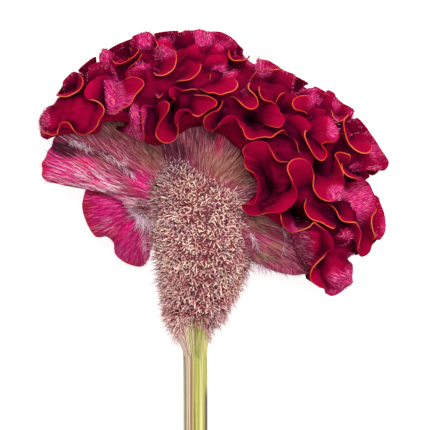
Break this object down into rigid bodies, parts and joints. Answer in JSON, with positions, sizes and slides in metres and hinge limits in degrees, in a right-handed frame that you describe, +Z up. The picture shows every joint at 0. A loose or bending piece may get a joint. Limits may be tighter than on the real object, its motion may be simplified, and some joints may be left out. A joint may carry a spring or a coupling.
{
  "type": "cut cockscomb celosia flower",
  "caption": "Fan-shaped cockscomb flower head, its velvet comb gathered in deep folds over a silky fan and a column of small florets, on a bare cut stem, lying on its back.",
  "frame": {"origin": "on the table, under the middle of the object's bounding box", "axes": "+Z up from the table, +Y from the stem's cut end towards the top of the comb, +X to the right seen from above with the comb at the top"},
  "size_m": [0.1616, 0.2455, 0.0932],
  "materials": {
    "comb_velvet": "crimson velvet with silvery magenta bulges and thin orange edges",
    "fan_silk": "silky mauve and rose, with fine streaks and hairs that radiate from the column",
    "florets": "dry papery pink-tan florets with cream tips and dark red bases",
    "stem_green": "matte ribbed yellow-green stalk with pink-beige and brown stripes"
  },
  "bodies": {
    "root": {"velvet_comb": "comb_velvet", "silky_fan": "fan_silk", "floret_column": "florets", "stem": "stem_green"}
  },
  "joints": []
}
